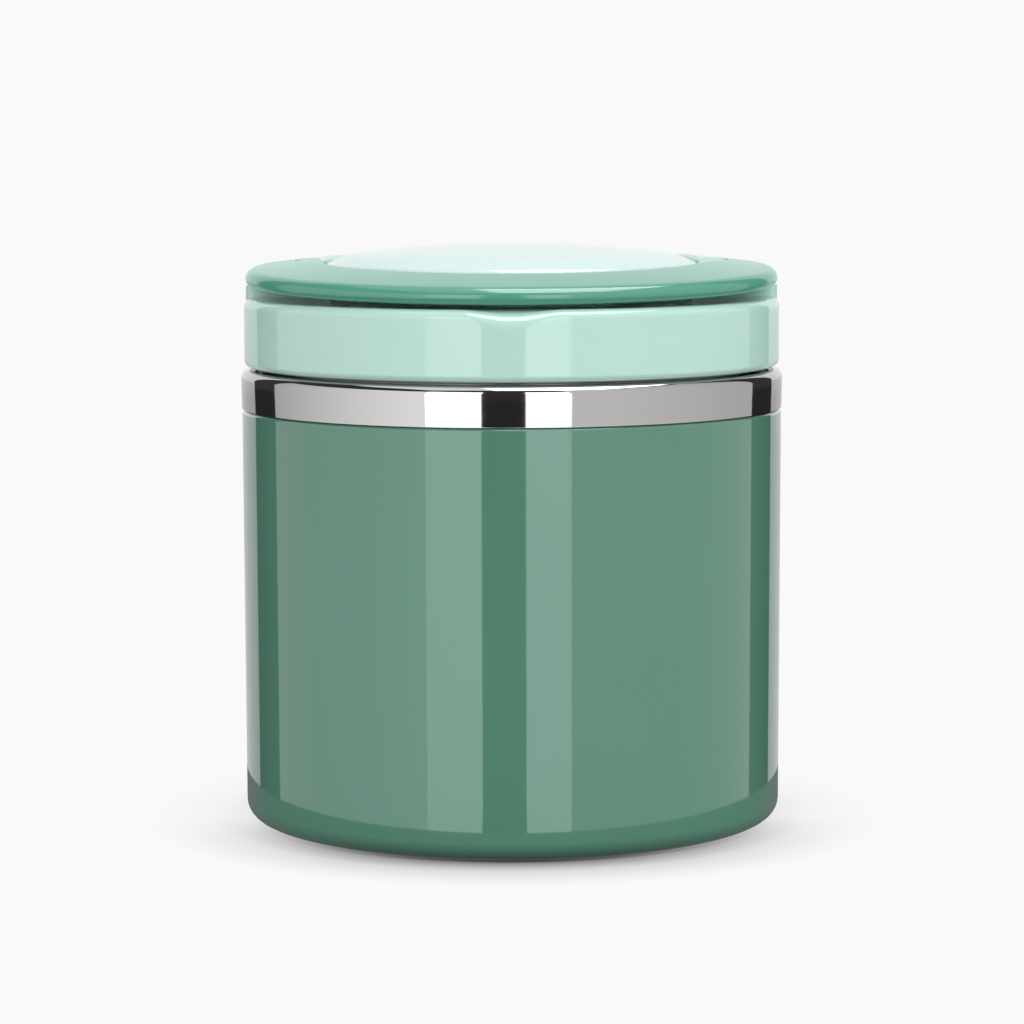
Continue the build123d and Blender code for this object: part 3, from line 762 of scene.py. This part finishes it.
# %% Fixed back crescent
CREST_DRAFT, CREST_TOP_ROUND = 0.3, 1.0
CREST_FRONT = 20.0       # degrees in front of the middle, past the cheeks
CREST_SUNK = 0.5         # its foot reaches into the hub, so that the two unite


def part_ring(bm, start, sweep, steps):
    """Spins a closed section through a part turn and closes both ends."""
    bm = spin(bm, start, sweep, steps)
    bmesh.ops.holes_fill(bm, edges=[edge for edge in bm.edges if edge.is_boundary])
    bmesh.ops.recalc_face_normals(bm, faces=bm.faces)
    return bm


crest = crown_section(RING_IN, BAND_R - CREST_DRAFT, CREST_TOP_ROUND, (RING_IN, DISC_LOW),
                      (hub_r - CREST_SUNK, DISC_LOW), (hub_r - CREST_SUNK, DECK_UNDER), (BAND_R, DECK_UNDER))
crest_sweep = 180 + 2 * CREST_FRONT
crest = part_ring(crest, -CREST_FRONT, crest_sweep, facets(crest_sweep))
for side in (1, -1):
    for tool in (in_front_of_cheek, pocket, washer_seat):
        crest = carve(crest, tool(side))
print("crest faces", len(crest.faces))
lid = carve(lid, crest, "UNION")
place(lid, "lid_top", "lid", mint_abs, ["lid_shell"])

# %% [markdown]
# ## The domed disc
#
# The disc snaps over the hub and hides the screws. Its dome is part of a sphere, with a soft shoulder round
# it that falls to a small rounding. The section starts on the axis with a straight line, which is subdivided
# and lifted on to the sphere in the same way as the crown.

# %% Disc
DOME_SPHERE = 246.0
SHOULDER_R, SHOULDER_DROP, SHOULDER_ROUND = 32.8, 1.5, 9.0
DISC_ROUND, DOME_CUTS = 1.0, 24
UNDER_EDGE, UNDER_MIDDLE = 2.8, 2.2        # from the shoulder's corner down to the underside
LIFTED = 3.0                               # all that is less than this under that corner rises with the dome


def dome(r):
    """Height of the dome at the radius r."""
    return APEX - DOME_SPHERE + math.sqrt(DOME_SPHERE**2 - r**2)


edge_z = dome(DISC_R)
disc = section([(0, edge_z), (SHOULDER_R, edge_z, SHOULDER_ROUND),
                (DISC_R, edge_z - SHOULDER_DROP, DISC_ROUND), (DISC_R, DISC_LOW), (DISC_R - WALL, DISC_LOW),
                (DISC_R - WALL, edge_z - UNDER_EDGE), (0, edge_z - UNDER_MIDDLE)], closed=False)
across_disc = [edge for edge in disc.edges if edge.calc_length() > 0.9 * SHOULDER_R * MM]
bmesh.ops.subdivide_edges(disc, edges=across_disc, cuts=DOME_CUTS)
for vert in disc.verts:
    if vert.co.z / MM > edge_z - LIFTED:
        vert.co.z += (dome(vert.co.x / MM) - edge_z) * MM
place(spin(disc), "domed_disc", "lid", pale_abs, ["lid_disc"])

# %% [markdown]
# ## The carry handle
#
# The handle is the crown ring again, but only its front. It is spun past both hinges, and its inner edge is
# then moved out to the straight line of each arm. What is left of the ring behind the hinges is cut away
# about the pivot, which leaves a round lobe, and last the whole handle is tilted to how it lies.

# %% Handle ring and arms
UNDER_ROUND, INNER_ROUND, INNER_TOP_ROUND = 1.4, 0.5, 1.0
PAST_HINGE = 22                    # degrees
NOSE = 3.0                         # the outer edge keeps its shape over this width
UNDER_LAYER = 2.0                  # what is higher than this over the underside follows the crown

handle = crown_section(RING_IN, HANDLE_R, INNER_TOP_ROUND, (RING_IN, HANDLE_UNDER, INNER_ROUND),
                       (HANDLE_R, HANDLE_UNDER, UNDER_ROUND))
handle_sweep = 180 + 2 * PAST_HINGE
handle = part_ring(handle, -180 - PAST_HINGE, handle_sweep, handle_sweep)
for vert in handle.verts:
    radius, angle = math.hypot(vert.co.x, vert.co.y) / MM, math.atan2(vert.co.y, abs(vert.co.x))
    if angle < -ARM_TURN:
        continue
    wall_r = RING_IN
    for _ in range(5):             # the wall's radius depends on its own depth, so it is worked out in rounds
        wall_r = arm_wall(wall_r * math.sin(angle), RING_IN, LOBE_X) / math.cos(angle)
    share = (HANDLE_R - NOSE - radius) / (HANDLE_R - NOSE - RING_IN - INNER_TOP_ROUND)
    moved = radius + (wall_r - RING_IN) * max(0.0, min(1.0, share))
    if vert.co.z / MM > HANDLE_UNDER + UNDER_LAYER:
        vert.co.z += (crown(moved) - crown(radius)) * MM
    vert.co.x *= moved / radius
    vert.co.y *= moved / radius
bmesh.ops.recalc_face_normals(handle, faces=handle.faces)
print("handle ring:", len(handle.faces), "faces")

# %% Round lobes about the pivot
LOBE_R = 2.8
keep = bmesh.new()
arc = arc_behind_pivot(keep, -FAR, LOBE_R, 180)
other = [keep.verts.new((-FAR * MM, y * MM, z * MM)) for y, z in
         ((PIVOT_Y, ABOVE), (-FAR, ABOVE), (-FAR, BELOW), (PIVOT_Y, BELOW))]
handle = carve(handle, prism(keep, keep.faces.new(arc + other), 2 * FAR, 0, 0), "INTERSECT")
print("with its lobes:", len(handle.faces), "faces")

# %% Coring under the handle, between ribs
CORE_IN, CORE_OUT, CORE_DEEP, CORE_ROUND = 43.0, 50.4, 1.7, 0.5
CORE_END, RIBS, RIB = 20.0, 10, 1.2        # degrees left plain at each end, ribs, width of one
CORE_STEPS = 12


def core(k):
    """One hollow of the underside, between two ribs."""
    step = (180 - 2 * CORE_END) / (RIBS + 1)
    rib_angle = math.degrees(RIB / ((CORE_IN + CORE_OUT) / 2))
    top = HANDLE_UNDER + CORE_DEEP
    bm = section([(CORE_IN, HANDLE_UNDER - 1), (CORE_OUT, HANDLE_UNDER - 1), (CORE_OUT, top, CORE_ROUND),
                  (CORE_IN, top, CORE_ROUND)])
    return part_ring(bm, -180 + CORE_END + k * step + rib_angle / 2, step - rib_angle, CORE_STEPS)


for k in range(RIBS + 1):
    handle = carve(handle, core(k))
tilt(handle)
place(handle, "carry_handle", "handle", green_abs, ["handle"])

# %% [markdown]
# ## Inside the lid
#
# When the lid comes off, its inner cap shows: a threaded skirt, a seat for the gasket, and a plug that fills
# the mouth and keeps the heat in. It is white polypropylene, and the gasket is silicone.

# %% Liner, its thread, and the gasket
SKIRT_R, LINER_WALL, PLUG_R = reach("lid_liner"), 1.4, 44.2
LINER_LOW = heights("lid_liner")[0]
PLUG_FLOOR, PLUG_STEP = 97.0, 0.5
gasket_low, gasket_high = heights("lid_gasket")
seat = gasket_high + 0.1
skirt_in = SKIRT_R - LINER_WALL
liner = turned((0, PLUG_FLOOR), (30.0, PLUG_FLOOR), (31.0, PLUG_FLOOR + PLUG_STEP, 0.4),
               (40.0, PLUG_FLOOR + PLUG_STEP), (41.0, PLUG_FLOOR, 0.4), (PLUG_R, PLUG_FLOOR, 2.0),
               (PLUG_R, seat, 0.3), (skirt_in, seat, 0.5), (skirt_in, LINER_LOW, 0.4),
               (SKIRT_R, LINER_LOW, 0.4), (SKIRT_R, DECK_UNDER, 0.6),
               (PLUG_R - LINER_WALL, DECK_UNDER), (PLUG_R - LINER_WALL, PLUG_FLOOR + LINER_WALL, 1.2),
               (0, PLUG_FLOOR + LINER_WALL))
place(liner, "inner_cap", "lid", white_pp, ["lid_liner"])
place(thread(skirt_in, LINER_CREST_R, LINER_THREAD_Z), "inner_cap_thread", "lid", white_pp)
gasket = turned((44.8, gasket_high, 0.3), (44.8, gasket_high - 1.0, 0.4), (46.4, gasket_low, 0.5),
                (48.6, gasket_low, 0.5), (50.4, gasket_high - 1.0, 0.4), (50.4, gasket_high, 0.3))
place(gasket, "gasket_ring", "seal", silicone, ["lid_gasket"])

# %% [markdown]
# ## Pieces that stay as they are
#
# The small and hidden pieces of the frame have the right shape already, so each only gets its finish.

# %% Finishes for the pieces of the frame
kept = {
    "heat_shield_foil": foil, "vacuum_base": satin_steel, "seal_bead": seal_glass,
    "getter_capsule": pin_steel, "getter_clip": pin_steel, "lid_foam": bead_foam, "lid_screws": pin_steel,
    "pivot_pin_left": pin_steel, "pivot_pin_right": pin_steel,
    "friction_washer_left": nylon, "friction_washer_right": nylon,
}
for node, finish in kept.items():
    nodes[node].data.materials.clear()
    nodes[node].data.materials.append(finish)

# %% [markdown]
# ## The studio
#
# A gloss cylinder shows the room more than itself, so the lights are placed by what they draw on it. A light
# at an angle from the camera appears as an upright band on the wall. Two bright strips stand left and right
# of the camera with a dark gap between them, where the camera is. Wide soft panels follow on both sides, then
# black flats, and behind the jar there is only white.
# These are seen in reflections alone. The matt part of a colour is lit by an even sky and two very soft suns,
# so that a colour shows as it is written.

# %% Softboxes with rounded corners, placed by the angle at which they are mirrored
WHITE = srgb("#F9F9F9")
MIRRORED_ONLY = {"visible_camera": False, "visible_diffuse": False, "visible_shadow": False}
SOFTBOX_CORNER = 0.02
SOFTBOX_BEND = 6         # degrees of one flat piece of a bent panel


def stage_piece(bm, name, finish, **hidden_from):
    """Something of the studio. Keywords are the kinds of ray that don't meet it."""
    piece = plain_object(bm, name)
    piece.data.materials.append(finish)
    for key, value in hidden_from.items():
        setattr(piece, key, value)


def glow(name, radiance, fade=None):
    """Material that only shines, as a softbox does. fade is (axis, start, end, share left at the end)."""
    material = bpy.data.materials.new(name)
    material.use_nodes = True
    material.node_tree.nodes.remove(material.node_tree.nodes["Principled BSDF"])
    shine = add_node(material, "ShaderNodeEmission", None, {"Color": srgb("#FFFFFF"), "Strength": radiance})
    if fade:
        axis, start, end, share = fade
        where = add_node(material, "ShaderNodeTexCoord").outputs["Object"]
        parts = add_node(material, "ShaderNodeSeparateXYZ", None, {"Vector": where})
        level = add_node(material, "ShaderNodeMapRange", None,
                         {"Value": parts.outputs[axis], "From Min": start, "From Max": end,
                          "To Min": radiance, "To Max": radiance * share})
        link(material, level.outputs["Result"], shine.inputs["Strength"])
    link(material, shine.outputs["Emission"], material.node_tree.nodes["Material Output"].inputs["Surface"])
    return material


def softbox(name, first, last, distance, low, high, radiance, fade):
    """Bent panel between two angles from the camera's side, negative to the left, and round at the first."""
    bm = bmesh.new()
    start = Vector((distance * math.sin(math.radians(first)), -distance * math.cos(math.radians(first)), 0))
    bm.edges.new([bm.verts.new(start + Vector((0, 0, z))) for z in (low, high)])
    sweep = last - first
    bmesh.ops.spin(bm, geom=bm.verts[:] + bm.edges[:], cent=(0, 0, 0), axis=(0, 0, 1), dvec=(0, 0, 0),
                   angle=math.radians(sweep), steps=max(2, round(abs(sweep) / SOFTBOX_BEND)))
    ends = [vert for vert in bm.verts if (vert.co.xy - start.xy).length < WELD]
    bmesh.ops.bevel(bm, geom=ends, offset=SOFTBOX_CORNER, segments=6, profile=0.5, affect="VERTICES",
                    material=-1)
    stage_piece(bm, name, glow(name, radiance, fade), visible_transmission=False, **MIRRORED_ONLY)


# A strip's tube is weaker at its foot. A panel is lit from its front edge, so it falls off towards the back.
STRIP_AWAY, PANEL_AWAY = 0.80, 0.84
STRIP_LOW, PANEL_LOW, SOFTBOX_HIGH, RIGHT_HIGH = -0.154, -0.26, 0.55, 1.15
STRIP_LIGHT, LEFT_LIGHT, RIGHT_LIGHT = 2.9, 1.45, 0.98
FOOT_FADE = ("Z", 0.30, STRIP_LOW, 0.80)
LEFT_FADE, RIGHT_FADE = ("Y", -0.69, 0.37, 0.48), ("Y", -0.69, 0.41, 0.74)
softbox("left_strip", -12.1, -35.2, STRIP_AWAY, STRIP_LOW, SOFTBOX_HIGH, STRIP_LIGHT, FOOT_FADE)
softbox("right_strip", 5.6, 24.1, STRIP_AWAY, STRIP_LOW, SOFTBOX_HIGH, STRIP_LIGHT, FOOT_FADE)
softbox("left_panel", -115.8, -35.4, PANEL_AWAY, PANEL_LOW, SOFTBOX_HIGH, LEFT_LIGHT, LEFT_FADE)
softbox("right_panel", 119.0, 24.3, PANEL_AWAY, PANEL_LOW, RIGHT_HIGH, RIGHT_LIGHT, RIGHT_FADE)

# %% Ceiling lights and dark flats
CEILING_Z, CEILING_FRONT, CEILING_BACK = 1.25, -0.85, 0.40
CEILING_LEFT, CEILING_SPLIT, CEILING_RIGHT = -0.75, -0.13, 0.74

def ceiling_light(name, left, right, radiance):
    """Level panel over the jar, between two distances to the right."""
    bm = bmesh.new()
    corners = ((left, CEILING_FRONT), (right, CEILING_FRONT), (right, CEILING_BACK), (left, CEILING_BACK))
    bm.faces.new([bm.verts.new((x, y, CEILING_Z)) for x, y in corners])
    stage_piece(bm, name, glow(name, radiance), **MIRRORED_ONLY)


ceiling_light("ceiling_fill", CEILING_LEFT, CEILING_SPLIT, 1.3)
ceiling_light("ceiling_key", CEILING_SPLIT, CEILING_RIGHT, 7.5)

black, _ = new_finish("black studio flat", Base_Color=srgb("#3A3A3B"), Roughness=0.9)
FLAT_R, FLAT_LOW, FLAT_HIGH, FLAT_STEPS = 1.35, -2.0, 2.0, 90
FLAT_LEFT, FLAT_RIGHT = -138.0, 142.0      # degrees from the camera's side where the dark room ends
room = bmesh.new()
room.edges.new([room.verts.new((FLAT_R, 0, z)) for z in (FLAT_LOW, FLAT_HIGH)])
spin(room, FLAT_LEFT - 90, FLAT_RIGHT - FLAT_LEFT, FLAT_STEPS)
stage_piece(room, "dark_flats", black, **MIRRORED_ONLY)

# %% Floor with a painted shadow, and a grey disc that only the jar mirrors
# The floor is a white glow with its shadow painted in, as if the light came from above and behind: ambient
# occlusion darkens it only close to the jar, and most in front of it. That painted shade is a wide soft one,
# and a narrow one where the base meets the floor.
FLOOR_HALF, SHADE_DISC_R, SHADE_DISC_STEPS = 3.0, 0.084, 96
WIDE_SHADE, CONTACT_SHADE = 0.023, 0.008
FRONT_Y, SIDE_Y, SIDE_SHADE = -0.054, -0.008, 0.18      # all of the shade in front, less of it beside the jar
# The floor's glow also lights the jar, at this share of its strength: that is painted bounce light.
BOUNCE = 0.72            # light that the floor gives back to the jar
floor_white = bpy.data.materials.new("white studio floor")
floor_white.use_nodes = True
floor_white.node_tree.nodes.remove(floor_white.node_tree.nodes["Principled BSDF"])
place_on_floor = add_node(floor_white, "ShaderNodeTexCoord").outputs["Object"]
floor_parts = add_node(floor_white, "ShaderNodeSeparateXYZ", None, {"Vector": place_on_floor})
# Painted shadow: all of the occlusion darkens the glow in front of the jar, and less of it beside the jar.
share = add_node(floor_white, "ShaderNodeMapRange", None,
                 {"Value": floor_parts.outputs["Y"], "From Min": FRONT_Y, "From Max": SIDE_Y,
                  "To Min": 1.0, "To Max": SIDE_SHADE})
wide, contact = [add_node(floor_white, "ShaderNodeAmbientOcclusion", {"samples": 8}, {"Distance": distance})
                 for distance in (WIDE_SHADE, CONTACT_SHADE)]
both = add_node(floor_white, "ShaderNodeMath", {"operation": "MULTIPLY"},
                {0: wide.outputs["AO"], 1: contact.outputs["AO"]})
painted_floor_shade = add_node(floor_white, "ShaderNodeMix", {"data_type": "FLOAT"},
                  {0: share.outputs["Result"], 2: 1.0, 3: both.outputs["Value"]})
to_camera = add_node(floor_white, "ShaderNodeLightPath").outputs["Is Camera Ray"]
level = add_node(floor_white, "ShaderNodeMapRange", None,
                 {"Value": to_camera, "To Min": BOUNCE, "To Max": 1.0})
# The painted shadow sets the glow's strength. Rays from the jar see it at BOUNCE of that.
floor_glow_strength = add_node(floor_white, "ShaderNodeMath", {"operation": "MULTIPLY"},
               {0: painted_floor_shade.outputs[0], 1: level.outputs["Result"]})
floor_shine = add_node(floor_white, "ShaderNodeEmission", None,
                       {"Color": WHITE, "Strength": floor_glow_strength.outputs["Value"]})
link(floor_white, floor_shine.outputs["Emission"],
     floor_white.node_tree.nodes["Material Output"].inputs["Surface"])
ground = bmesh.new()
bmesh.ops.create_grid(ground, x_segments=1, y_segments=1, size=FLOOR_HALF)
stage_piece(ground, "floor", floor_white, visible_glossy=False)

# A grey disc under the jar is painted floor shade. Only reflections see it, and the jar mirrors it darker
# than the white floor that the camera sees.
mirrored_floor_shade_grey, _ = new_finish("grey painted floor shade, mirrored only", Base_Color=srgb("#6C6C6C"), Roughness=0.7)
shade_disc = bmesh.new()
bmesh.ops.create_circle(shade_disc, cap_ends=True, segments=SHADE_DISC_STEPS, radius=SHADE_DISC_R)
stage_piece(shade_disc, "shade_disc", mirrored_floor_shade_grey, **MIRRORED_ONLY)

# %% Even sky and two soft suns for the matt part of a colour
SKY_SHARE = 0.45         # of the light on a level white surface
FAR_FLOOR = 0.6          # the floor behind the jar, as the jar mirrors it
FAR_FLOOR_FROM, HORIZON = -0.09, -0.01     # how far a ray points down, as a share of its length
SUN_HIGH, SUN_SOFT = math.radians(45), math.radians(70)
SUNS = {"right soft sun": (50, 0.38), "left soft sun": (-40, 0.26)}    # degrees to the right, share of light
world = bpy.data.worlds.new("studio")
bpy.context.scene.world = world
world.use_nodes = True
rays = add_node(world, "ShaderNodeLightPath")
mirrored = add_node(world, "ShaderNodeMath", {"operation": "MAXIMUM"},
                    {0: rays.outputs["Is Glossy Ray"], 1: rays.outputs["Is Transmission Ray"]})
seen = add_node(world, "ShaderNodeMath", {"operation": "MAXIMUM"},
                {0: mirrored.outputs["Value"], 1: rays.outputs["Is Camera Ray"]})
towards = add_node(world, "ShaderNodeTexCoord").outputs["Generated"]
upwards = add_node(world, "ShaderNodeSeparateXYZ", None, {"Vector": towards})
far_floor = add_node(world, "ShaderNodeMapRange", None,
                     {"Value": upwards.outputs["Z"], "From Min": FAR_FLOOR_FROM, "From Max": HORIZON,
                      "To Min": FAR_FLOOR, "To Max": 1.0})
open_view = add_node(world, "ShaderNodeMath", {"operation": "MAXIMUM"},
                     {0: rays.outputs["Is Camera Ray"], 1: far_floor.outputs["Result"]})
strength = add_node(world, "ShaderNodeMapRange", None,
                    {"Value": seen.outputs["Value"], "To Min": SKY_SHARE,
                     "To Max": open_view.outputs["Value"]})
background = world.node_tree.nodes["Background"]
background.inputs["Color"].default_value = WHITE
link(world, strength.outputs["Result"], background.inputs["Strength"])

for name, (right, share) in SUNS.items():
    lamp = bpy.data.lights.new(name, "SUN")
    lamp.energy = share * math.pi / math.sin(SUN_HIGH)
    lamp.angle = SUN_SOFT
    sun = bpy.data.objects.new(name, lamp)
    bpy.context.scene.collection.objects.link(sun)
    sun.rotation_euler = (math.pi / 2 - SUN_HIGH, 0, math.radians(right))
    sun.visible_glossy = False
    sun.visible_camera = False
print("sky and suns give %.2f on a level surface" % (SKY_SHARE + sum(share for _, share in SUNS.values())))

# %% [markdown]
# ## The camera
#
# A long lens from about three quarters of a metre, a little above the lid and looking slightly down.

# %% Camera
FRAME_PX, FOCAL_PX = 1024, 3711
LENS_BACK, LENS_HIGH, TILT, ROLL = 0.7579, 0.14283, 6.07, -0.15
camera_data = bpy.data.cameras.new("camera")
camera_data.sensor_width = 36.0
camera_data.lens = camera_data.sensor_width * FOCAL_PX / FRAME_PX
camera_data.clip_start, camera_data.clip_end = 0.05, 20.0
camera = bpy.data.objects.new("camera", camera_data)
bpy.context.scene.collection.objects.link(camera)
camera.location = (0, -LENS_BACK, LENS_HIGH)
turned_view = Matrix.Rotation(math.radians(90 - TILT), 3, "X") @ Matrix.Rotation(math.radians(ROLL), 3, "Z")
camera.rotation_euler = turned_view.to_euler()
bpy.context.scene.camera = camera
bpy.context.scene.view_settings.view_transform = "Standard"
